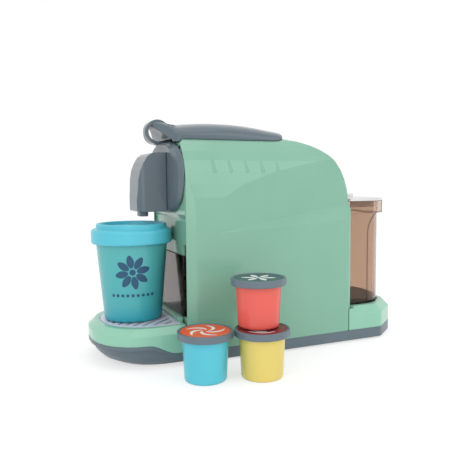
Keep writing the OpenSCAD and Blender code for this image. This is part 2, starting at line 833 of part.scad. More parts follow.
// What the lever leaves free below its front: the head, and the finger room behind the curl.
module below_front() {
    along_x(lever_hw + 5) polygon([
        [-60, 170], [-60, 191.5], [-84.6, 191.7], [-85.6, 194], [-93, 202.5], [-99, 208],
        [-110, 208], [-110, 170]
    ]);
}

module lever() {
    color(slate) difference() {
        union() {
            difference() {
                skin([for (s = [
                    [-96, 7.5, 3.4, -0.6], [-93, 13, 4.6, -0.9], [-89, 22, 7.2, 0.1],
                    [-84.5, lever_hw - 3, 10, 1.7], [-81, lever_hw, 10.3, 2.5],
                    [-76, lever_hw, 10.6, 2.4], [-68, lever_hw, 11.4, 1.5], [-56, lever_hw, 12.4, 0.5],
                    [-42, lever_hw, 12.8, 0], [-26, lever_hw, 12.8, 0.2], [-12, lever_hw, 12.8, 1.1],
                    [0, lever_hw, 12.4, 2.5], [10, lever_hw, 11.5, 4.1], [17, lever_hw - 0.6, 10, 5.2],
                    [21.5, 31, 8.5, 5.9], [24, 27, 6.5, 6.2], [24.6, 22, 5, 6.3]
                ]) lever_ring(s[0], s[1], s[2], s[3])]);
                below_front();
            }
            intersection() {
                along_x(curl_hw) curl();
                translate([0, 0, 180]) linear_extrude(40)
                    rounded_plan([-curl_hw, curl_hw], [-103, -70], curl_hw - 1);
            }
            translate([-9.3, pivot_y, pivot_z]) rotate([0, 90, 0]) cylinder(h = 18.6, r = 4.2, $fn = 48);
        }
        difference() {
            housing_arch(-0.5, front_y - 0.5, 100);
            block([-9.3, 9.3], [pivot_y - 5, pivot_y + 6], [pivot_z - 4.2, 220]);
        }
        difference() {
            along_x(25.5) polygon([[-66, 185], [-66, 204], [-14, 204], [12, 200.5], [12, 185]]);
            block([-9.3, 9.3], [pivot_y - 16, pivot_y + 6], [150, 220]);
        }
        for (x = [-12.5, 12.5]) {
            block([x - 3.1, x + 3.1], [pivot_y - 10, pivot_y + 8], [170, 202.4]);
            block([x - 3.1, x + 3.1], [pivot_y - 3, pivot_y + 8], [170, 220]);
        }
        block([-28.4, 28.4], [front_y - 5.4, front_y + 10], [170, 193.9]);
        translate([-15.3, pivot_y, pivot_z]) rotate([0, 90, 0])
            cylinder(h = 30.6, r = pin_r + 0.05, $fn = 32);
    }
}

module lever_plunger() {
    color(slate) difference() {
        post(0, chute_y, [190, 203.9], 18);
        post(0, chute_y, [180, 201], 16);
    }
}

// ---- Tank ----

module tank_outline(inset, front) {
    polygon(tail_plan(tank_hw - inset, tank_rear - inset, tank_bend, tank_n, front));
}

// Shallow finger recess round the rear of the tank, with rounded upper corners.
module grip_recess() {
    intersection() {
        along_x(hw) polygon(concat(
            [[grip_y, 20], [grip_y, 103]],
            [for (i = [1:6]) [grip_y + 20 - 20 * cos(15 * i), 103 + 21.6 * sin(15 * i)]],
            [[tank_rear + 10, 124.6], [tank_rear + 10, 20]]
        ));
        difference() {
            translate([0, 0, 20]) linear_extrude(104.5) tank_outline(-1, grip_y - 10);
            translate([0, 0, 10]) linear_extrude(120) tank_outline(0.9, grip_y - 20);
        }
    }
}

module water_tank() {
    near = rear_y + 0.8;
    low = 32.4;
    color(smoke) difference() {
        union() {
            translate([0, 0, low]) linear_extrude(tank_z - low - 1) tank_outline(0, near);
            translate([0, 0, tank_z - 12]) linear_extrude(12) tank_outline(-collar, near);
        }
        grip_recess();
        translate([0, 0, low + 2]) linear_extrude(120) tank_outline(2, near + 2);
        post(0, 108, [20, 60], 4.4);
    }
}

module tank_sump() {
    color(dark) difference() {
        union() {
            translate([0, 0, 34.6]) linear_extrude(3.4) tank_outline(2.4, rear_y + 3.2);
            post(0, 108, [37.9, 46], 8);
        }
        post(0, 108, [30, 60], 4.2);
        for (a = [0:60:300])
            translate([0, 108, 42]) rotate([0, 90, a]) cylinder(h = 12, r = 1, $fn = 24);
    }
}

module tank_valve() {
    color(dark) difference() {
        union() {
            post(0, 108, [25, 45], 4);
            post(0, 108, [44, 46.6], 4.1);
        }
        post(0, 108, [20, 42], 2);
        translate([-8, 108, 40]) rotate([0, 90, 0]) cylinder(h = 16, r = 1, $fn = 24);
    }
}

module tank_lid() {
    near = rear_y + 0.8;
    color(ivory) union() {
        translate([0, 0, tank_z + 0.2]) linear_extrude(1.8) tank_outline(0.4 - collar, near + 0.4);
        translate([0, 0, tank_z + 1.9]) linear_extrude(0.7) tank_outline(1.4 - collar, near + 1.4);
        difference() {
            translate([0, 0, tank_z - 6]) linear_extrude(6.4) tank_outline(2.4, near + 2.4);
            translate([0, 0, tank_z - 7]) linear_extrude(7) tank_outline(4.4, near + 4.4);
        }
        translate([0, 0, tank_z + 2.4]) linear_extrude(4.2) rounded_plan([-11, 11], [104, 118], 4);
    }
}

// ---- Cup ----

module turned(points) {
    rotate_extrude($fn = 72) polygon(points);
}

module cup() {
    t = cup_wall;
    color(teal) translate([0, cup_y, cup_z]) turned([
        [0, 0.8], [cup_foot_r - 5, 0.8], [cup_foot_r - 4.2, 0], [cup_foot_r - 1.6, 0],
        [cup_foot_r - 0.4, 0.6],
        [cup_foot_r + 0.2, 2], [cup_r, cup_h], [cup_r - t, cup_h], [cup_foot_r - t, 3.4],
        [cup_foot_r - t - 1, 2.6], [0, 2.6]
    ]);
}

module cup_lid() {
    band = 35.7;
    step = 31.4;
    color(cyan) translate([0, cup_y, lid_z]) difference() {
        turned([
            [cup_r + 0.1, 0], [band - 1, 0], [band - 0.2, 0.8], [band, 2], [band, 10.4], [band - 0.6, 12],
            [band - 2, 12.9], [step + 0.3, 13.1], [step, 13.6], [step - 0.2, 16.6], [step - 1, 17.5],
            [step - 2.4, 17.6], [step - 3.2, 16.8], [step - 3.8, 14.4], [0, 14.2], [0, 12.4],
            [step - 2.2, 12.4], [band - 2.4, 10.8], [band - 2, 3], [cup_r + 0.1, 2.2]
        ]);
        for (a = [-6, 6])
            rotate([0, 0, a]) translate([0, -22.6, 10]) cylinder(h = 8, r = 2.4, $fn = 32);
        translate([0, 18, 10]) cylinder(h = 8, r = 0.8, $fn = 24);
    }
}

// ---- Capsules ----

module capsule_body(at, shade) {
    color(shade) translate(at) turned([
        [0, 0.6], [12, 0.6], [13, 0], [15.4, 0], [16.4, 0.5], [17, 1.8],
        [capsule_r - 3.8, capsule_h - 3.2],
        [capsule_r - 3.8, capsule_h - 2.6], [capsule_r - 5.2, capsule_h - 2.6], [15.6, 2.8],
        [14.6, 2], [0, 2]
    ]);
}

module capsule_ring(at) {
    color(slate) translate([at[0], at[1], at[2] + capsule_h]) turned([
        [capsule_r - 3.4, -5.6], [capsule_r - 0.4, -5.6], [capsule_r, -5.1], [capsule_r, -0.6],
        [capsule_r - 0.5, 0], [capsule_r - 1.8, 0], [capsule_r - 2.4, -0.8], [0, -0.8], [0, -2.2],
        [capsule_r - 3.4, -2.2]
    ]);
}

module capsule_label(at, shade) {
    color(shade) translate([at[0], at[1], at[2] + capsule_h - 0.75])
        cylinder(h = 0.3, r = capsule_r - 2.7, $fn = 72);
}

base_pan();
rubber_feet();
base_screws();
battery_box();
battery_cells();
battery_contacts();
battery_door();
door_screw();
deck();
right_shell();
left_shell();
shell_screws();
front_wall();
head_plate();
brew_head();
spout();
capsule_chute();
hinge_block();
lever_pin();
button_plate();
circuit_board();
push_switches();
speaker();
slide_switch();
water_pump();
pump_motor();
suction_tube();
delivery_tube();
tank_socket();
tray_foot();
drip_tray();
drip_grate();
capsule_bin();
lever();
lever_plunger();
front_button();
rear_button();
power_slider();
water_tank();
tank_sump();
tank_valve();
tank_lid();
cup();
cup_lid();
capsule_body(blue_at, cyan);  // blue_capsule
capsule_ring(blue_at);  // blue_capsule_ring
capsule_label(blue_at, "orangered");  // blue_capsule_label
capsule_body(yellow_at, lemon);  // yellow_capsule
capsule_ring(yellow_at);  // yellow_capsule_ring
capsule_label(yellow_at, "firebrick");  // yellow_capsule_label
capsule_body(red_at, coral);  // red_capsule
capsule_ring(red_at);  // red_capsule_ring
capsule_label(red_at, "darkslategray");  // red_capsule_label
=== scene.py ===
"""Looks for the toy coffee maker: finishes, prints, floor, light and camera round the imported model."""

import math

import bpy
from mathutils import Matrix, Vector
from mathutils.bvhtree import BVHTree


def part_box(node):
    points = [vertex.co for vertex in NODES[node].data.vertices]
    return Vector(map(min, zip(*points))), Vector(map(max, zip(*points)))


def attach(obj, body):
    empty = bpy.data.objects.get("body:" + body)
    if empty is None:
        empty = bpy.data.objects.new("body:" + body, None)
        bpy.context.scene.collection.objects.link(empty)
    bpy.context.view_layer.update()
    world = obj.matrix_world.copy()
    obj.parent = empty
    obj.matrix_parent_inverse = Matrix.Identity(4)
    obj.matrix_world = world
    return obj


bl_info = {
    "name": "Toy Coffee Maker Looks",
    "version": (1, 0, 0),
    "blender": (4, 5, 0),
    "location": "3D View > Sidebar > Toy Coffee Maker",
    "description": "Finishes, printed patterns, floor, light and camera for the toy coffee maker",
    "category": "Material",
}

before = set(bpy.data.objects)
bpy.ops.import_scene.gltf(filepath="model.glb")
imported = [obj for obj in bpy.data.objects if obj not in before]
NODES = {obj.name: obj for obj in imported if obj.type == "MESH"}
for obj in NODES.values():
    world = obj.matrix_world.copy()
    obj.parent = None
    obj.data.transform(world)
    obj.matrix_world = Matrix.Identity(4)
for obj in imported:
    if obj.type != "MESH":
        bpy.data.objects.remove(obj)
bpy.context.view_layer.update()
MM = 0.001

# The camera that took the photo, solved from its edges: metres, degrees, millimetres of a 36 mm sensor
CAMERA_AT = (0.5054, -0.2321, 0.1573)
CAMERA_TURN, CAMERA_RISE, CAMERA_ROLL = 65.76, 4.60, -0.38
CAMERA_SENSOR, CAMERA_LENS = 36, 42.85
CAMERA_SHIFT = (-0.01339, -0.02362)
CAMERA_NEAR = 0.01

# Lamps: name, place, the property that holds the power, share of that power, side of the square lamp
LAMPS = (
    ("key_lamp", (1.3, -1.5, 1.6), "key", 1.0, 1.3),
    ("fill_lamp", (1.6, 1.1, 1.0), "fill", 1.0, 1.3),
    ("top_lamp", (0.1, 0.0, 1.9), "fill", 0.6, 1.2),
    ("low_lamp", (1.5, -0.6, 0.25), "low", 1.0, 1.0),
)
LAMP_TARGET = Vector((0.03, 0, 0.09))

# The floor lies just under the feet; the light it gives itself turns it white where no shadow falls
FLOOR_DROP = 0.2 * MM
FLOOR_GLOW = 0.62
FLOOR_VEIL = 0.42
FLOOR_TONES = (0.93, 0.95)
FLOOR_PATCHES = 3

# Buttons: middle and tilt of their plate, how far each stands off its middle, height of its face, marks
BUTTONS_AT = (0, 50 * MM, 189.5 * MM)
BUTTONS_TILT = -24
BUTTON_OFF_CENTRE = 6 * MM
BUTTON_TOP = 1.9 * MM
DOT_MARK_RADIUS = 1.1 * MM
RING_MARK = {"radius": 1.9 * MM, "start": 0.4, "sweep": 5.4, "width": 0.4 * MM}

# Painted shade: a dark line is painted along the edge of the arched recess on the tank's side
# Arch on the side of the tank: middle of its span, foot of its bend, half span, height, width of its line
TANK_ARCH_SHADE = {
    "centre": 133.5 * MM,
    "spring": 103 * MM,
    "half": 20 * MM,
    "rise": 21.6 * MM,
    "width": 0.9 * MM,
}

# Grip dots: where the first stands on each side, step from row to row, dots of a row on each side,
# how deep they sink into the lever, height from which they are dropped on it
GRIP_START = (9.5 * MM, -85.6 * MM)
GRIP_ROW = 2.6 * MM
GRIP_COLUMNS = 4
GRIP_SUNK = 0.1 * MM
GRIP_FROM_ABOVE = 0.25

# The cup's wall leans out from its foot; CUP_FACING is the way its print faces, in degrees from +X
CUP_FOOT_RADIUS = 25.7 * MM
CUP_FOOT_RISE = 2 * MM
CUP_FACING = -13
FLOWER_HEIGHT = 79.5 * MM
FLOWER_TURN = 0.2
DOTS_HEIGHT = 59 * MM
DOTS_PITCH = 4.4 * MM
DOTS_RADIUS = 1.4 * MM
DOTS_EACH_SIDE = 4

# Painted shade: the cup's wall is painted darker towards its foot and lighter higher up
# Colour of the cup's wall: shares of its height where the foot's colour ends, where the middle colour
# lies and where the body's colour begins, and how much of the body's colour the middle one has
CUP_SHADED_FOOT_END, CUP_MIDDLE, CUP_LIT_BODY_START = 0.05, 0.2, 0.8
CUP_MIDDLE_BODY = 0.65
CUP_WAVE_SCALE, CUP_WAVE = 30, 0.05

# Surfaces: roughness, haze from handling, grain, radius at which edges turn soft.
# None stands for a value that a property gives.
SURFACES = {
    "mint": (None, 0.08, 0.1, None),
    "mint_round": (None, 0.08, 0.1, 1.6 * MM),
    "satin": (None, 0.12, 0.3, None),
    "satin_round": (None, 0.12, 0.3, 1.6 * MM),
    "head": (0.18, 0.08, 0.15, 1.4 * MM),
    "lever": (0.14, 0.06, 0.12, 1.6 * MM),
    "rubber": (0.7, 0.1, 0.8, 0.4 * MM),
    "grate": (0.28, 0.08, 0.15, 0.6 * MM),
    "tank_lid": (0.3, 0.08, 0.15, 0.8 * MM),
    "sump": (0.4, 0.1, 0.3, 0.5 * MM),
    "brown_button": (0.25, 0.08, 0.15, 0.5 * MM),
    "dark_button": (0.3, 0.08, 0.2, 0.5 * MM),
    "button_ink": (0.5, 0.05, 0.1, 0.1 * MM),
    "cup_lid": (0.3, 0.08, 0.12, 0.8 * MM),
    "cup_ink": (0.35, 0.05, 0.2, 0.1 * MM),
    "ring": (0.3, 0.1, 0.2, 0.7 * MM),
    "capsule": (0.22, 0.08, 0.1, 1.0 * MM),
    "film": (0.4, 0.08, 0.3, 0.2 * MM),
    "label_ink": (0.45, 0.05, 0.1, 0.1 * MM),
    "cell_wrap": (0.35, 0.1, 0.1, 0.4 * MM),
    "board": (0.4, 0.1, 0.5, 0.2 * MM),
    "natural": (0.35, 0.1, 0.2, 0.6 * MM),
    "clear": (None, 0.03, 0.05, 0.5 * MM),
    "steel": (0.3, 0.2, 0.6, 0.2 * MM),
    "cup_wall": (0.22, 0.08, 0.1, 0.6 * MM),
}

# Depth of the ripple in a wall, and how far its edges are rubbed pale; some surfaces have their own
RELIEF = 0.06 * MM
RELIEF_OF = {"rubber": 0.12 * MM, "clear": 0.03 * MM, "steel": 0.02 * MM, "cup_wall": 0.05 * MM}
RUB = 0.35
RUB_OF = {"rubber": 0.1}
RUB_REACH = 3.0
RUB_GAIN, RUB_LIFT = 1.25, 0.03

# Patterns of the moulded skin, in waves per metre, and how strongly each shows
DRIFT_SCALE, DRIFT_FROM, DRIFT_GAIN = 22, 0.35, 1.5
SMEAR_SCALE, SMEAR_MIDDLE, SMEAR_GAIN = 55, 0.42, 2.0
RIPPLE_SCALE, RIPPLE_SHARE = 90, 0.6
SPECK_SCALE = 2600

# How a second colour is made from the first
SHADE_OF_COLOUR = 0.88
SHADE_OF_CLEAR = 0.95
SHADE_OF_STEEL = 0.8
# Painted shade: the arch line on the tank is painted in this share of the tint
ARCH_SHADE_OF_CLEAR = 0.22
RING_TINT = 1.02

# How strongly the plastics bend light, and the share of light that the cup lets through
PLASTIC_IOR, CLEAR_IOR, CUP_IOR = 1.48, 1.3, 1.46
CUP_CLARITY = 0.25

# Ink stands between these heights over its surface; a stroke has this many corners where it is cut across
INK_LOW, INK_HIGH = 0.02 * MM, 0.12 * MM
CUT_CORNERS = 6


# ---- Sizes and colours that a user changes ----


def colour_prop(name, rgb, description):
    return bpy.props.FloatVectorProperty(
        name=name, description=description, subtype="COLOR", size=3, min=0.0, max=1.0, default=rgb
    )


def share_prop(name, value, description):
    return bpy.props.FloatProperty(
        name=name, description=description, subtype="FACTOR", min=0.0, max=1.0, default=value
    )


def length_prop(name, value, description):
    return bpy.props.FloatProperty(
        name=name, description=description, subtype="DISTANCE", unit="LENGTH", min=0.0, default=value
    )


def ratio_prop(name, value, description):
    return bpy.props.FloatProperty(name=name, description=description, min=0.0, default=value)


def power_prop(name, value, description):
    return bpy.props.FloatProperty(name=name, description=description, unit="POWER", default=value)


def count_prop(name, value, low, high, description):
    return bpy.props.IntProperty(name=name, description=description, min=low, max=high, default=value)


class HousingLook(bpy.types.PropertyGroup):
    mint: colour_prop("Mint", (0.208, 0.420, 0.313), "Colour of the housing and the tray")
    mint_shade: colour_prop("Mint shade", (0.188, 0.395, 0.293), "Duller patches of the mint moulding")
    slate: colour_prop("Slate", (0.115, 0.155, 0.185), "Colour of the base, the head and the lever")
    slate_shade: colour_prop("Slate shade", (0.095, 0.130, 0.158), "Duller patches of the slate moulding")
    gloss: share_prop("Roughness", 0.1, "Roughness of the polished mint moulding")
    satin: share_prop("Slate roughness", 0.34, "Roughness of the slate moulding")
    edge: length_prop("Edge softness", 0.0007, "Radius at which moulded edges catch the light")
    head: share_prop("Head tint", 0.84, "Head and lever colour over base colour")
    # Painted light: the deck and the tray are the housing's own plastic, painted lighter by this ratio
    deck: ratio_prop("Deck lightness", 1.28, "Deck and tray colour over housing colour")


class GripLook(bpy.types.PropertyGroup):
    radius: length_prop("Dot radius", 0.0009, "Radius of one grip dot on the lever")
    height: length_prop("Dot height", 0.0006, "Height of one grip dot")
    pitch: length_prop("Pitch", 0.0042, "Distance between the dots of a row")
    rows: count_prop("Rows", 3, 1, 3, "Rows of grip dots")


class ClearLook(bpy.types.PropertyGroup):
    smoke: colour_prop("Smoke", (0.66, 0.52, 0.425), "Tint of one wall of the smoky plastic")
    haze: share_prop("Haze", 0.06, "Roughness of the smoky plastic")
    bin: share_prop("Bin tint", 0.62, "Tint of the bin over the tint of the tank")
    ivory: colour_prop("White", (0.70, 0.69, 0.70), "Colour of the lid of the tank")
    grate: colour_prop("Grate", (0.66, 0.69, 0.82), "Colour of the drip grate")


class CupLook(bpy.types.PropertyGroup):
    lid: colour_prop("Lid", (0.085, 0.500, 0.620), "Colour of the cup's lid")
    # Body and foot are painted light and painted shade of one wall: lighter high up, darker at the foot
    body: colour_prop("Body", (0.112, 0.520, 0.530), "Colour of the cup where light passes through it")
    foot: colour_prop("Foot", (0.036, 0.420, 0.520), "Colour of the cup where its floor closes it")
    ink: colour_prop("Ink", (0.012, 0.075, 0.155), "Colour of the printed pattern")
    petal: length_prop("Petal length", 0.0112, "Length of one petal of the printed flower")
    petals: count_prop("Petals", 8, 5, 12, "Petals in the printed flower")


class CapsuleLook(bpy.types.PropertyGroup):
    blue: colour_prop("Blue", (0.085, 0.520, 0.640), "Colour of the blue capsule")
    yellow: colour_prop("Yellow", (0.740, 0.590, 0.150), "Colour of the yellow capsule")
    red: colour_prop("Red", (0.740, 0.110, 0.085), "Colour of the red capsule")
    orange: colour_prop("Orange label", (0.750, 0.105, 0.030), "Label of the blue capsule")
    maroon: colour_prop("Maroon label", (0.200, 0.020, 0.024), "Label of the yellow capsule")
    green: colour_prop("Green label", (0.045, 0.100, 0.105), "Label of the red capsule")
    white: colour_prop("White ink", (0.760, 0.780, 0.760), "Colour of the patterns on the labels")


class ControlsLook(bpy.types.PropertyGroup):
    front: colour_prop("Front button", (0.15, 0.035, 0.02), "Colour of the front button")
    rear: colour_prop("Rear button", (0.022, 0.023, 0.026), "Colour of the rear button and dark fittings")


class WorksLook(bpy.types.PropertyGroup):
    steel: colour_prop("Steel", (0.55, 0.55, 0.56), "Colour of the plated metal pieces")
    natural: colour_prop("Natural plastic", (0.62, 0.61, 0.57), "Colour of the chute, pump and tubes")
    cells: colour_prop("Cells", (0.05, 0.055, 0.06), "Colour of the wrap of the cells")
    board: colour_prop("Board", (0.02, 0.10, 0.04), "Colour of the circuit board")
    rubber: colour_prop("Rubber", (0.03, 0.03, 0.032), "Colour of the feet")
    sump: colour_prop("Sump", (0.05, 0.04, 0.038), "Colour of the sump and the valve of the tank")


class StageLook(bpy.types.PropertyGroup):
    floor: length_prop("Floor", 8.0, "Side of the square floor")
    key: power_prop("Key lamp", 6.0, "Power of the main lamp")
    fill: power_prop("Fill lamp", 5.0, "Power of the side lamp")
    low: power_prop("Low lamp", 3.0, "Power of the low front lamp")
    sky: share_prop("Sky", 0.98, "Light from all round")


GROUPS = {
    "maker_housing": HousingLook,
    "maker_grip": GripLook,
    "maker_clear": ClearLook,
    "maker_cup": CupLook,
    "maker_capsules": CapsuleLook,
    "maker_controls": ControlsLook,
    "maker_works": WorksLook,
    "maker_stage": StageLook,
}


# ---- Shader groups that several finishes share ----


def group_tree(name, inputs, outputs):
    tree = bpy.data.node_groups.new(name, "ShaderNodeTree")
    for label, kind, default in inputs:
        socket = tree.interface.new_socket(name=label, in_out="INPUT", socket_type=kind)
        socket.default_value = default
    for label, kind in outputs:
        tree.interface.new_socket(name=label, in_out="OUTPUT", socket_type=kind)
    return tree, tree.nodes.new("NodeGroupInput"), tree.nodes.new("NodeGroupOutput")


def math_node(tree, operation, a, b=0.0, clamp=False):
    """A maths node; an operation of one value leaves b alone."""
    node = tree.nodes.new("ShaderNodeMath")
    node.operation = operation
    node.use_clamp = clamp
    for socket, value in zip(node.inputs, (a, b)):
        if hasattr(value, "is_output"):
            tree.links.new(value, socket)
        else:
            socket.default_value = value
    return node.outputs[0]


def mix_colours(tree, factor, a, b):
    node = tree.nodes.new("ShaderNodeMix")
    node.data_type = "RGBA"
    for socket, value in zip((node.inputs[0], node.inputs[6], node.inputs[7]), (factor, a, b)):
        if hasattr(value, "is_output"):
            tree.links.new(value, socket)
        else:
            socket.default_value = value
    return node.outputs[2]


def object_place(tree):
    return tree.nodes.new("ShaderNodeTexCoord").outputs["Object"]


def object_axes(tree):
    """The outputs X, Y and Z of a point's place on the object."""
    split = tree.nodes.new("ShaderNodeSeparateXYZ")
    tree.links.new(object_place(tree), split.inputs[0])
    return split.outputs


def noise(tree, position, scale, detail=2.0, rough=0.5):
    node = tree.nodes.new("ShaderNodeTexNoise")
    tree.links.new(position, node.inputs["Vector"])
    node.inputs["Scale"].default_value = scale
    node.inputs["Detail"].default_value = detail
    node.inputs["Roughness"].default_value = rough
    return node.outputs["Fac"]


def moulded_skin_group():
    """Colour drift, handling haze and the faint ripple of a moulded plastic wall."""
    tree, given, put = group_tree(
        "moulded_skin",
        [
            ("Color", "NodeSocketColor", (0.5, 0.5, 0.5, 1)),
            ("Shade", "NodeSocketColor", (0.4, 0.4, 0.4, 1)),
            ("Roughness", "NodeSocketFloat", 0.3),
            ("Haze", "NodeSocketFloat", 0.08),
            ("Grain", "NodeSocketFloat", 0.2),
        ],
        [("Color", "NodeSocketColor"), ("Roughness", "NodeSocketFloat"), ("Height", "NodeSocketFloat")],
    )
    place = object_place(tree)
    drift = noise(tree, place, DRIFT_SCALE, 3)
    smear = noise(tree, place, SMEAR_SCALE, 4, 0.6)
    speck = noise(tree, place, SPECK_SCALE, 1)
    ripple = noise(tree, place, RIPPLE_SCALE, 1)
    above = math_node(tree, "SUBTRACT", drift, DRIFT_FROM)
    soft = math_node(tree, "MULTIPLY", above, DRIFT_GAIN, clamp=True)
    drifted = mix_colours(tree, soft, given.outputs["Color"], given.outputs["Shade"])
    tree.links.new(drifted, put.inputs["Color"])
    smeared = math_node(tree, "SUBTRACT", smear, SMEAR_MIDDLE)
    haze = math_node(tree, "MULTIPLY", smeared, given.outputs["Haze"])
    hazier = math_node(tree, "MULTIPLY", haze, SMEAR_GAIN)
    tree.links.new(math_node(tree, "ADD", given.outputs["Roughness"], hazier), put.inputs["Roughness"])
    wave = math_node(tree, "MULTIPLY", ripple, RIPPLE_SHARE)
    fine = math_node(tree, "MULTIPLY", speck, given.outputs["Grain"])
    tree.links.new(math_node(tree, "ADD", wave, fine), put.inputs["Height"])
    return tree


def edge_rub_group():
    """Lightens a colour where edges are rubbed; found by comparing rounded and real normals."""
    tree, given, put = group_tree(
        "edge_rub",
        [
            ("Color", "NodeSocketColor", (0.5, 0.5, 0.5, 1)),
            ("Rub", "NodeSocketColor", (0.7, 0.7, 0.7, 1)),
            ("Rounded Normal", "NodeSocketVector", (0, 0, 1)),
            ("Amount", "NodeSocketFloat", 0.5),
        ],
        [("Color", "NodeSocketColor")],
    )
    dot = tree.nodes.new("ShaderNodeVectorMath")
    dot.operation = "DOT_PRODUCT"
    tree.links.new(given.outputs["Rounded Normal"], dot.inputs[0])
    tree.links.new(tree.nodes.new("ShaderNodeNewGeometry").outputs["Normal"], dot.inputs[1])
    away = math_node(tree, "SUBTRACT", 1.0, dot.outputs["Value"])
    edge = math_node(tree, "MULTIPLY", away, RUB_REACH, clamp=True)
    mask = math_node(tree, "MULTIPLY", edge, given.outputs["Amount"])
    rubbed = mix_colours(tree, mask, given.outputs["Color"], given.outputs["Rub"])
    tree.links.new(rubbed, put.inputs["Color"])
    return tree


SHARED = {}


def shared(name, build):
    if name not in SHARED:
        SHARED[name] = build()
    return SHARED[name]


def finish_tree(name):
    mat = bpy.data.materials.new(name)
    mat.use_nodes = True
    tree = mat.node_tree
    return mat, tree, tree.nodes["Principled BSDF"]


def rounded_normal(tree, radius):
    node = tree.nodes.new("ShaderNodeBevel")
    node.samples = 6
    node.inputs["Radius"].default_value = radius
    return node.outputs["Normal"]


def bump(tree, height, normal, distance):
    node = tree.nodes.new("ShaderNodeBump")
    node.inputs["Strength"].default_value = 1.0
    node.inputs["Distance"].default_value = distance
    tree.links.new(height, node.inputs["Height"])
    tree.links.new(normal, node.inputs["Normal"])
    return node.outputs["Normal"]


def lay_skin(tree, bsdf, surface, colour, shade, look=(None, None)):
    """Give a shader a surface's haze, ripple and soft edges; returns its drifting colour and rounded normal.

    look gives the roughness and the edge radius that the surface leaves open.
    """
    rough, haze, grain, radius = SURFACES[surface]
    skin = tree.nodes.new("ShaderNodeGroup")
    skin.node_tree = shared("skin", moulded_skin_group)
    skin.inputs["Color"].default_value = (*colour, 1)
    skin.inputs["Shade"].default_value = (*shade, 1)
    skin.inputs["Roughness"].default_value = look[0] if rough is None else rough
    skin.inputs["Haze"].default_value = haze
    skin.inputs["Grain"].default_value = grain
    rounded = rounded_normal(tree, look[1] if radius is None else radius)
    relief = RELIEF_OF.get(surface, RELIEF)
    tree.links.new(skin.outputs["Roughness"], bsdf.inputs["Roughness"])
    tree.links.new(bump(tree, skin.outputs["Height"], rounded, relief), bsdf.inputs["Normal"])
    return skin.outputs["Color"], rounded


def moulded(name, surface, colour, shade=None, look=(None, None)):
    """Moulded plastic with edges rubbed pale; its colour drifts to the shade, or to a darker tone."""
    colour = tuple(colour)
    shade = tuple(shade) if shade else tuple(c * SHADE_OF_COLOUR for c in colour)
    mat, tree, bsdf = finish_tree(name)
    drift, rounded = lay_skin(tree, bsdf, surface, colour, shade, look)
    edge = tree.nodes.new("ShaderNodeGroup")
    edge.node_tree = shared("edge", edge_rub_group)
    edge.inputs["Rub"].default_value = (*(min(1, c * RUB_GAIN + RUB_LIFT) for c in colour), 1)
    edge.inputs["Amount"].default_value = RUB_OF.get(surface, RUB)
    tree.links.new(drift, edge.inputs["Color"])
    tree.links.new(rounded, edge.inputs["Rounded Normal"])
    tree.links.new(edge.outputs["Color"], bsdf.inputs["Base Color"])
    bsdf.inputs["IOR"].default_value = PLASTIC_IOR
    mat.diffuse_color = (*colour, 1)
    return mat


def arch_shade_line(tree, centre, spring, half, rise, width):
    """Painted shade mask, 1 along a moulded arch: two legs joined by half an ellipse, all in metres."""
    axes = object_axes(tree)
    across = math_node(tree, "DIVIDE", math_node(tree, "SUBTRACT", axes["Y"], centre), half)
    above = math_node(tree, "MAXIMUM", math_node(tree, "SUBTRACT", axes["Z"], spring), 0.0)
    above = math_node(tree, "DIVIDE", above, rise)
    squares = [math_node(tree, "MULTIPLY", value, value) for value in (across, above)]
    reach = math_node(tree, "SQRT", math_node(tree, "ADD", *squares))
    off = math_node(tree, "ABSOLUTE", math_node(tree, "SUBTRACT", reach, 1.0))
    near = math_node(tree, "SUBTRACT", 1.0, math_node(tree, "MULTIPLY", off, half / width), clamp=True)
    return math_node(tree, "MULTIPLY", near, 1.5, clamp=True)


def clear_plastic(name, tint, rough, arch=None):
    """See-through plastic: slight drift of tint, faint ripple, and painted shade along an arch if given."""
    tint = tuple(tint)
    mat, tree, bsdf = finish_tree(name)
    shade = tuple(c * SHADE_OF_CLEAR for c in tint)
    colour, _ = lay_skin(tree, bsdf, "clear", tint, shade, (rough, None))
    if arch:
        # Painted shade: the arch line is painted in a darker copy of the tint
        deep = (*(c * ARCH_SHADE_OF_CLEAR for c in tint), 1)
        colour = mix_colours(tree, arch_shade_line(tree, **arch), colour, deep)
    tree.links.new(colour, bsdf.inputs["Base Color"])
    bsdf.inputs["IOR"].default_value = CLEAR_IOR
    bsdf.inputs["Transmission Weight"].default_value = 1.0
    mat.diffuse_color = (*tint, 0.5)
    return mat


def metal(name, surface, colour):
    """Plated metal with a fine grain, dulled in patches by handling."""
    mat, tree, bsdf = finish_tree(name)
    drift, _ = lay_skin(tree, bsdf, surface, tuple(colour), tuple(c * SHADE_OF_STEEL for c in colour))
    tree.links.new(drift, bsdf.inputs["Base Color"])
    bsdf.inputs["Metallic"].default_value = 1.0
    return mat


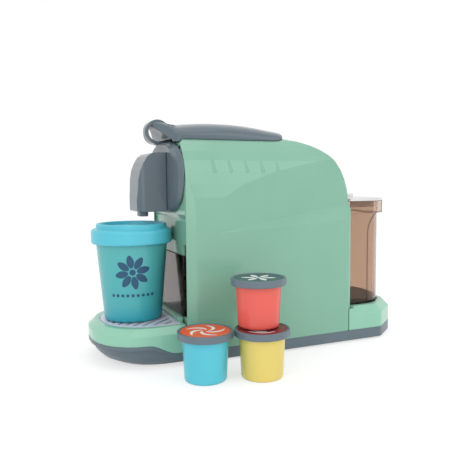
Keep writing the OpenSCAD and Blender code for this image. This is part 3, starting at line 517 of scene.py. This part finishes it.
def cup_wall(name, look):
    """Frosted cup wall with painted light high up, where light passes, and painted shade at the foot."""
    mat, tree, bsdf = finish_tree(name)
    foot, body = tuple(look.foot), tuple(look.body)
    lay_skin(tree, bsdf, "cup_wall", body, foot)
    low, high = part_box("cup")
    above = math_node(tree, "SUBTRACT", object_axes(tree)["Z"], low.z)
    rise = math_node(tree, "DIVIDE", above, high.z - low.z, clamp=True)
    drift = math_node(tree, "SUBTRACT", noise(tree, object_place(tree), CUP_WAVE_SCALE), 0.5)
    wave = math_node(tree, "MULTIPLY", drift, CUP_WAVE)
    # Painted shade: the ramp runs from the darker foot colour up to the lighter body colour
    ramp = tree.nodes.new("ShaderNodeValToRGB")
    tree.links.new(math_node(tree, "ADD", rise, wave), ramp.inputs["Fac"])
    steps = ramp.color_ramp.elements
    steps[0].position, steps[0].color = CUP_SHADED_FOOT_END, (*foot, 1)
    steps[1].position, steps[1].color = CUP_LIT_BODY_START, (*body, 1)
    middle = (f + (b - f) * CUP_MIDDLE_BODY for f, b in zip(foot, body))
    steps.new(CUP_MIDDLE).color = (*middle, 1)
    tree.links.new(ramp.outputs["Color"], bsdf.inputs["Base Color"])
    bsdf.inputs["IOR"].default_value = CUP_IOR
    bsdf.inputs["Transmission Weight"].default_value = CUP_CLARITY
    mat.diffuse_color = (*body, 1)
    return mat


def dress(mat, *names):
    """Give the named nodes a finish, in every slot they have."""
    for name in names:
        slots = NODES[name].data.materials
        if len(slots) == 0:
            slots.append(mat)
        for i in range(len(slots)):
            slots[i] = mat


def make_piece(name, verts, faces, mat, body):
    """A piece that rides on a body, with the given finish in its one slot."""
    mesh = bpy.data.meshes.new(name)
    mesh.from_pydata([tuple(v) for v in verts], [], faces)
    mesh.validate()
    mesh.update()
    mesh.materials.append(mat)
    piece = bpy.data.objects.new(name, mesh)
    bpy.context.scene.collection.objects.link(piece)
    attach(piece, body)
    return piece


# ---- Printed patterns ----


def printed(name, strokes, place, mat, body):
    """Thin ink layer: each stroke is a list of (along, up, half width), put on its surface by place."""
    verts, faces = [], []
    for stroke in strokes:
        base, count = len(verts), len(stroke)
        for i, (s, t, w) in enumerate(stroke):
            a, b = stroke[max(i - 1, 0)], stroke[min(i + 1, count - 1)]
            run = Vector((b[0] - a[0], b[1] - a[1])).normalized()
            for k in (-1, 0, 1):
                for h in (INK_LOW, INK_HIGH):
                    verts.append(place(s - run.y * w * k, t + run.x * w * k, h))
        for i in range(count - 1):
            p = base + CUT_CORNERS * i
            q = p + CUT_CORNERS
            for k in (0, 2):
                faces.append((p + k + 1, q + k + 1, q + k + 3, p + k + 3))
                faces.append((p + k, p + k + 2, q + k + 2, q + k))
            faces.append((p, q, q + 1, p + 1))
            faces.append((p + 4, p + 5, q + 5, q + 4))
        first, last = base, base + CUT_CORNERS * (count - 1)
        faces.append((first, first + 1, first + 3, first + 5, first + 4, first + 2))
        faces.append((last, last + 2, last + 4, last + 5, last + 3, last + 1))
    make_piece(name, verts, faces, mat, body)


def petal(cx, cy, angle, start, length, width):
    """A petal that grows from start along angle; its half width follows a half sine with blunt ends."""
    steps = 12
    out = []
    for i in range(steps + 1):
        u = i / steps
        r = start + length * u
        w = width * math.sin(math.pi * (0.06 + 0.9 * u)) ** 0.7
        out.append((cx + r * math.cos(angle), cy + r * math.sin(angle), w))
    return out


def dot(cx, cy, radius):
    """A round dot with ends a little blunt, so that no face closes to a line."""
    steps = 10
    out = []
    for i in range(steps + 1):
        angle = math.pi * i / steps
        out.append((cx - math.cos(angle) * radius * 0.995, cy, radius * max(math.sin(angle), 0.08)))
    return out


def arc(cx, cy, radius, start, sweep, width):
    """Part of a ring, widest in its middle."""
    steps = max(8, int(sweep * radius / (1.2 * MM)))
    out = []
    for i in range(steps + 1):
        u = i / steps
        a = start + sweep * u
        w = width * (0.25 + 0.75 * math.sin(math.pi * u))
        out.append((cx + radius * math.cos(a), cy + radius * math.sin(a), w))
    return out


def blade(cx, cy, inner, outer, angle, twist, width):
    """A curved blade of a pinwheel."""
    steps = 16
    out = []
    for i in range(steps + 1):
        u = i / steps
        r, a = inner + (outer - inner) * u, angle + twist * u
        out.append((cx + r * math.cos(a), cy + r * math.sin(a), width * (0.3 + math.sin(math.pi * u))))
    return out


def flower(cx, cy, petals, start, length, width, eye, turn=0.0):
    """Petals all round a dot."""
    strokes = [petal(cx, cy, math.tau * i / petals + turn, start, length, width) for i in range(petals)]
    return [*strokes, dot(cx, cy, eye)]


def pinwheel(blades, inner, outer, twist, width):
    return [blade(0, 0, inner, outer, math.tau * i / blades, twist, width) for i in range(blades)]


def broken_rings(radii, starts, sweep, width):
    """Rings of two or more arcs; each ring is turned a little further than the one inside it."""
    return [arc(0, 0, r * MM, start + r / 9, sweep, width) for r in radii for start in starts]


# ---- Stage ----


class MAKER_OT_stage(bpy.types.Operator):
    """Build the floor, the lamps and the camera"""

    bl_idname = "maker.stage"
    bl_label = "Floor, lamps and camera"

    def execute(self, context):
        look = context.scene.maker_stage
        scene = context.scene
        scene.view_settings.view_transform = "Standard"
        self.floor(look)
        self.sky(scene, look)
        for name, at, power, share, side in LAMPS:
            light = bpy.data.lights.new(name, "AREA")
            light.energy = getattr(look, power) * share
            light.size = side
            lamp = bpy.data.objects.new(name, light)
            lamp.location = at
            aim = LAMP_TARGET - Vector(at)
            lamp.rotation_euler = aim.to_track_quat("-Z", "Y").to_euler()
            scene.collection.objects.link(lamp)
        self.camera(scene)
        return {"FINISHED"}

    def camera(self, scene):
        turn, rise, roll = (math.radians(angle) for angle in (CAMERA_TURN, CAMERA_RISE, CAMERA_ROLL))
        back = Vector((math.sin(turn) * math.cos(rise), -math.cos(turn) * math.cos(rise), math.sin(rise)))
        right = (-back).cross(Vector((0, 0, 1))).normalized()
        up = right.cross(-back)
        across = math.cos(roll) * right + math.sin(roll) * up
        above = -math.sin(roll) * right + math.cos(roll) * up
        data = bpy.data.cameras.new("photo_camera")
        data.sensor_width = CAMERA_SENSOR
        data.lens = CAMERA_LENS
        data.shift_x, data.shift_y = CAMERA_SHIFT
        data.clip_start = CAMERA_NEAR
        camera = bpy.data.objects.new("photo_camera", data)
        turned = Matrix((across, above, back)).transposed().to_4x4()
        camera.matrix_world = Matrix.Translation(Vector(CAMERA_AT)) @ turned
        scene.collection.objects.link(camera)
        scene.camera = camera

    def floor(self, look):
        half = look.floor / 2
        mesh = bpy.data.meshes.new("floor")
        corners = [(-half, -half, 0), (half, -half, 0), (half, half, 0), (-half, half, 0)]
        mesh.from_pydata(corners, [], [(0, 1, 2, 3)])
        floor = bpy.data.objects.new("floor", mesh)
        bpy.context.scene.collection.objects.link(floor)
        floor.location.z = -FLOOR_DROP
        mat, tree, bsdf = finish_tree("pale_floor")
        bsdf.inputs["Roughness"].default_value = 0.9
        patches = noise(tree, object_place(tree), FLOOR_PATCHES)
        pale = mix_colours(tree, patches, *((tone, tone, tone, 1) for tone in FLOOR_TONES))
        tree.links.new(pale, bsdf.inputs["Base Color"])
        seen = self.seen(tree)
        glow = tree.nodes.new("ShaderNodeEmission")
        glow.inputs["Strength"].default_value = FLOOR_GLOW
        veil = tree.nodes.new("ShaderNodeBsdfDiffuse")
        veil.inputs["Color"].default_value = (FLOOR_VEIL, FLOOR_VEIL, FLOOR_VEIL, 1)
        both = tree.nodes.new("ShaderNodeAddShader")
        tree.links.new(glow.outputs[0], both.inputs[0])
        tree.links.new(veil.outputs[0], both.inputs[1])
        pick = tree.nodes.new("ShaderNodeMixShader")
        tree.links.new(seen, pick.inputs[0])
        tree.links.new(bsdf.outputs[0], pick.inputs[1])
        tree.links.new(both.outputs[0], pick.inputs[2])
        tree.links.new(pick.outputs[0], tree.nodes["Material Output"].inputs["Surface"])
        mesh.materials.append(mat)

    def seen(self, tree):
        """1 for rays that show the background: straight, in gloss and through clear plastic."""
        path = tree.nodes.new("ShaderNodeLightPath")
        first = math_node(tree, "MAXIMUM", path.outputs["Is Camera Ray"], path.outputs["Is Glossy Ray"])
        return math_node(tree, "MAXIMUM", first, path.outputs["Is Transmission Ray"])

    def sky(self, scene, look):
        world = bpy.data.worlds.new("studio")
        world.use_nodes = True
        tree = world.node_tree
        ground = tree.nodes["Background"]
        ground.inputs["Color"].default_value = (1, 1, 1, 1)
        ground.inputs["Strength"].default_value = look.sky
        white = tree.nodes.new("ShaderNodeBackground")
        white.inputs["Color"].default_value = (1, 1, 1, 1)
        white.inputs["Strength"].default_value = 1.0
        pick = tree.nodes.new("ShaderNodeMixShader")
        tree.links.new(self.seen(tree), pick.inputs[0])
        tree.links.new(ground.outputs[0], pick.inputs[1])
        tree.links.new(white.outputs[0], pick.inputs[2])
        tree.links.new(pick.outputs[0], tree.nodes["World Output"].inputs["Surface"])
        scene.world = world


# ---- Pieces ----


class MAKER_OT_housing(bpy.types.Operator):
    """Give the mint mouldings their polished finish"""

    bl_idname = "maker.housing"
    bl_label = "Housing"

    def execute(self, context):
        look = context.scene.maker_housing
        given = (look.gloss, look.edge)
        mint = moulded("mint_gloss", "mint", look.mint, look.mint_shade, given)
        dress(mint, "right_shell", "left_shell", "front_wall")
        # Painted light: a lighter copy of the housing's mint for the deck and the tray
        pale, dull = ([c * look.deck for c in colour] for colour in (look.mint, look.mint_shade))
        soft = moulded("mint_gloss_round", "mint_round", pale, dull, given)
        dress(soft, "deck", "drip_tray")
        return {"FINISHED"}


class MAKER_OT_slate(bpy.types.Operator):
    """Give the slate mouldings their satin finish"""

    bl_idname = "maker.slate"
    bl_label = "Base, head and lever"

    def execute(self, context):
        look = context.scene.maker_housing
        given = (look.satin, look.edge)
        satin = moulded("slate_satin", "satin", look.slate, look.slate_shade, given)
        dress(satin, "base_pan", "battery_door", "lever_plunger", "hinge_block", "spout")
        soft = moulded("slate_satin_round", "satin_round", look.slate, look.slate_shade, given)
        dress(soft, "tray_foot")
        deep, dull = ([c * look.head for c in colour] for colour in (look.slate, look.slate_shade))
        gloss = moulded("slate_gloss", "head", deep, dull)
        dress(gloss, "brew_head", "head_plate", "button_plate")
        dress(moulded("lever_gloss", "lever", deep, dull), "lever")
        dress(moulded("foot_rubber", "rubber", context.scene.maker_works.rubber), "rubber_feet")
        return {"FINISHED"}


class MAKER_OT_grip(bpy.types.Operator):
    """Set staggered rows of small grip dots on the front slope of the lever"""

    bl_idname = "maker.grip"
    bl_label = "Grip dots"

    def execute(self, context):
        look = context.scene.maker_grip
        lever = NODES["lever"]
        corners = [lever.matrix_world @ v.co for v in lever.data.vertices]
        surface = BVHTree.FromPolygons(corners, [tuple(p.vertices) for p in lever.data.polygons])
        verts, faces = [], []
        for row in range(look.rows):
            for column in range(GRIP_COLUMNS):
                for side in (-1, 1):
                    across = side * (GRIP_START[0] + (column + 0.5 * (row % 2)) * look.pitch)
                    above = Vector((across, GRIP_START[1] + GRIP_ROW * row, GRIP_FROM_ABOVE))
                    hit, normal, _, _ = surface.ray_cast(above, Vector((0, 0, -1)))
                    if hit is None:
                        raise RuntimeError("a grip dot misses the lever")
                    self.dome(verts, faces, hit - normal * GRIP_SUNK, normal, look)
        gloss = bpy.data.materials["lever_gloss"]
        piece = make_piece("lever_grip_dots", verts, faces, gloss, "lever_arm")
        for polygon in piece.data.polygons:
            polygon.use_smooth = len(polygon.vertices) <= 4
        return {"FINISHED"}

    def dome(self, verts, faces, foot, normal, look):
        """A closed dome of three rings and a tip that stands on its foot along normal."""
        sides, start = 12, len(verts)
        turned = normal.to_track_quat("Z", "Y").to_matrix()
        for share, lift in ((1.0, 0.0), (0.86, 0.55), (0.5, 0.88)):
            for i in range(sides):
                angle = 2 * math.pi * i / sides
                flat = Vector((math.cos(angle), math.sin(angle), 0)) * look.radius * share
                verts.append(foot + turned @ (flat + Vector((0, 0, lift * look.height))))
        verts.append(foot + normal * look.height)
        tip = len(verts) - 1
        for i in range(sides):
            j = (i + 1) % sides
            for ring in (start, start + sides):
                faces.append((ring + i, ring + j, ring + sides + j, ring + sides + i))
            faces.append((start + 2 * sides + i, start + 2 * sides + j, tip))
        faces.append(tuple(start + i for i in reversed(range(sides))))


class MAKER_OT_tray(bpy.types.Operator):
    """Dress the drip grate and the capsule bin"""

    bl_idname = "maker.tray"
    bl_label = "Grate and bin"

    def execute(self, context):
        look = context.scene.maker_clear
        dress(moulded("grate_lavender", "grate", look.grate), "drip_grate")
        bin_tint = [c * look.bin for c in look.smoke]
        dress(clear_plastic("smoke_bin", bin_tint, look.haze), "capsule_bin")
        return {"FINISHED"}


class MAKER_OT_tank(bpy.types.Operator):
    """Dress the water tank, its lid, sump and valve"""

    bl_idname = "maker.tank"
    bl_label = "Water tank"

    def execute(self, context):
        look = context.scene.maker_clear
        dress(clear_plastic("smoke_tank", look.smoke, look.haze, TANK_ARCH_SHADE), "water_tank")
        dress(moulded("lid_white", "tank_lid", look.ivory), "tank_lid")
        sump = context.scene.maker_works.sump
        dress(moulded("sump_black", "sump", sump), "tank_sump", "tank_valve")
        return {"FINISHED"}


class MAKER_OT_controls(bpy.types.Operator):
    """Dress the buttons and print a dot and an open ring on them"""

    bl_idname = "maker.controls"
    bl_label = "Buttons and switch"

    def execute(self, context):
        look = context.scene.maker_controls
        dress(moulded("button_brown", "brown_button", look.front), "front_button")
        dark = moulded("button_dark", "dark_button", look.rear)
        dress(dark, "rear_button", "push_switches", "power_slider")
        dress(dark, "tank_socket", "battery_box", "speaker")
        ink = moulded("button_ink", "button_ink", context.scene.maker_capsules.white)
        tilt = Matrix.Rotation(math.radians(BUTTONS_TILT), 4, "X")
        plate = Matrix.Translation(Vector(BUTTONS_AT)) @ tilt
        for name, side, body, mark in (
            ("front_button_mark", -1, "front_key", dot(0, 0, DOT_MARK_RADIUS)),
            ("rear_button_mark", 1, "rear_key", arc(0, 0, **RING_MARK)),
        ):
            top = plate @ Matrix.Translation(Vector((0, side * BUTTON_OFF_CENTRE, BUTTON_TOP)))

            def on_button(s, t, h, top=top):
                return top @ Vector((s, t, h))

            printed(name, [mark], on_button, ink, body)
        return {"FINISHED"}


class MAKER_OT_cup(bpy.types.Operator):
    """Dress the takeaway cup and print a flower over a row of dots on it"""

    bl_idname = "maker.cup"
    bl_label = "Takeaway cup"

    def execute(self, context):
        look = context.scene.maker_cup
        dress(cup_wall("cup_frosted", look), "cup")
        dress(moulded("cup_lid_cyan", "cup_lid", look.lid), "cup_lid")
        ink = moulded("cup_ink", "cup_ink", look.ink)
        low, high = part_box("cup")
        middle = (low + high) / 2
        rim, facing = (high.x - low.x) / 2, math.radians(CUP_FACING)

        def on_cup(s, t, h):
            share = (t - low.z - CUP_FOOT_RISE) / (high.z - low.z - CUP_FOOT_RISE)
            radius = CUP_FOOT_RADIUS + (rim - CUP_FOOT_RADIUS) * share
            angle = facing + s / radius
            return Vector(
                (middle.x + (radius + h) * math.cos(angle), middle.y + (radius + h) * math.sin(angle), t)
            )

        start, width, eye = 3.9 * MM, 3.1 * MM, 2.7 * MM
        strokes = flower(0, FLOWER_HEIGHT, look.petals, start, look.petal, width, eye, FLOWER_TURN)
        for i in range(-DOTS_EACH_SIDE, DOTS_EACH_SIDE + 1):
            strokes.append(dot(i * DOTS_PITCH, DOTS_HEIGHT, DOTS_RADIUS))
        printed("cup_print", strokes, on_cup, ink, "takeaway_cup")
        return {"FINISHED"}


class MAKER_OT_capsules(bpy.types.Operator):
    """Dress the three capsules and print their labels"""

    bl_idname = "maker.capsules"
    bl_label = "Capsules"

    def execute(self, context):
        look = context.scene.maker_capsules
        slate = context.scene.maker_housing.slate
        ring = moulded("ring_slate", "ring", [c * RING_TINT for c in slate])
        white = moulded("label_ink", "label_ink", look.white)
        designs = {
            "blue": pinwheel(blades=5, inner=2.5 * MM, outer=16 * MM, twist=1.5, width=1.1 * MM),
            "yellow": broken_rings(radii=(6, 10, 14), starts=(0.3, 3.4), sweep=1.7, width=0.8 * MM),
            "red": flower(0, 0, petals=6, start=3 * MM, length=11 * MM, width=2.1 * MM, eye=1.8 * MM),
        }
        labels = {"blue": look.orange, "yellow": look.maroon, "red": look.green}
        for name, strokes in designs.items():
            wall = moulded(f"{name}_gloss", "capsule", getattr(look, name))
            dress(wall, f"{name}_capsule")
            dress(ring, f"{name}_capsule_ring")
            film = moulded(f"{name}_label_film", "film", labels[name])
            dress(film, f"{name}_capsule_label")
            low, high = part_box(f"{name}_capsule_label")
            middle = (low + high) / 2

            def on_label(s, t, h, middle=middle, top=high.z):
                return Vector((middle.x + s, middle.y + t, top + h))

            printed(f"{name}_label_print", strokes, on_label, white, f"{name}_pod")
        return {"FINISHED"}


class MAKER_OT_works(bpy.types.Operator):
    """Dress the works inside and the metal pieces"""

    bl_idname = "maker.works"
    bl_label = "Works inside"

    def execute(self, context):
        look = context.scene.maker_works
        steel = metal("plated_steel", "steel", look.steel)
        dress(steel, "base_screws", "shell_screws", "door_screw", "battery_contacts", "lever_pin")
        dress(steel, "slide_switch", "pump_motor")
        dress(moulded("cell_wrap", "cell_wrap", look.cells), "battery_cells")
        dress(moulded("board_green", "board", look.board), "circuit_board")
        natural = moulded("natural_plastic", "natural", look.natural)
        dress(natural, "capsule_chute", "water_pump", "suction_tube", "delivery_tube")
        return {"FINISHED"}


OPERATORS = (
    MAKER_OT_stage,
    MAKER_OT_housing,
    MAKER_OT_slate,
    MAKER_OT_grip,
    MAKER_OT_tray,
    MAKER_OT_tank,
    MAKER_OT_controls,
    MAKER_OT_cup,
    MAKER_OT_capsules,
    MAKER_OT_works,
)


class MAKER_PT_looks(bpy.types.Panel):
    """Looks of the toy coffee maker"""

    bl_idname = "MAKER_PT_looks"
    bl_label = "Toy Coffee Maker"
    bl_space_type = "VIEW_3D"
    bl_region_type = "UI"
    bl_category = "Toy Coffee Maker"

    def draw(self, context):
        layout = self.layout
        for name, group in GROUPS.items():
            box = layout.box()
            for prop in group.__annotations__:
                box.prop(getattr(context.scene, name), prop)
        for operator in OPERATORS:
            layout.operator(operator.bl_idname)


def register():
    for cls in (*GROUPS.values(), *OPERATORS, MAKER_PT_looks):
        bpy.utils.register_class(cls)
    for name, group in GROUPS.items():
        setattr(bpy.types.Scene, name, bpy.props.PointerProperty(type=group))


def unregister():
    for name in GROUPS:
        delattr(bpy.types.Scene, name)
    for cls in reversed((*GROUPS.values(), *OPERATORS, MAKER_PT_looks)):
        bpy.utils.unregister_class(cls)


def main():
    register()
    for operator in OPERATORS:
        call = getattr(bpy.ops.maker, operator.bl_idname.split(".")[1])
        if call() != {"FINISHED"}:
            raise RuntimeError(f"{operator.bl_label} did not finish")


if __name__ == "__main__":
    main()
